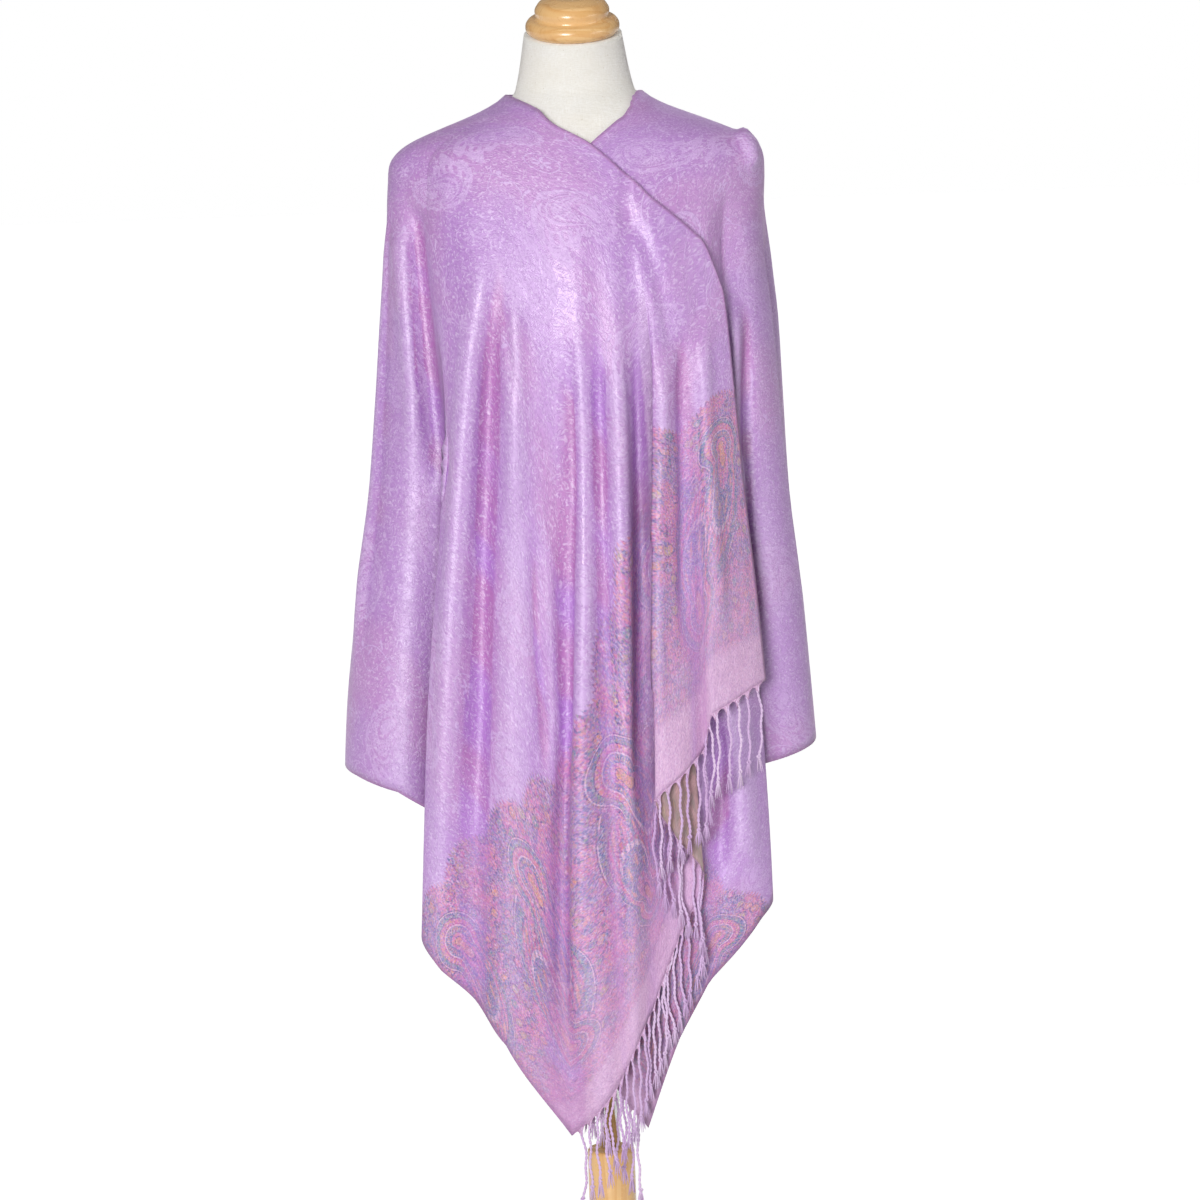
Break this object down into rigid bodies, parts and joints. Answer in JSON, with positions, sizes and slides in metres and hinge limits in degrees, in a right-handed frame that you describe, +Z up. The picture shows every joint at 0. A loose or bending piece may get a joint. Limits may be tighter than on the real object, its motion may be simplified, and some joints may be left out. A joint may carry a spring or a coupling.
{
  "type": "satin wrap on a dress form",
  "caption": "Lilac satin wrap with a paisley border and twisted fringe, crossed at the front of a limbless linen dress form on a wooden stand.",
  "frame": {"origin": "centre of the stand base's underside", "axes": "+Z up, the front of the wrap faces -Y, +X to the viewer's right"},
  "size_m": [0.4915, 0.34, 1.5049],
  "materials": {
    "satin": "satin jacquard, lilac",
    "fringe": "twisted yarn",
    "linen": "plain linen",
    "wood": "clear lacquer",
    "chrome": "polished"
  },
  "bodies": {
    "root": {"form_torso": "linen", "neck_cap": "wood", "stand_base": "wood", "stand_column": "wood", "stand_pole": "chrome", "wrap_over_front": "satin", "wrap_over_side": "satin", "wrap_back": "satin", "wrap_under_side": "satin", "wrap_under_front": "satin", "fringe_over": "fringe", "fringe_under": "fringe"}
  },
  "joints": []
}
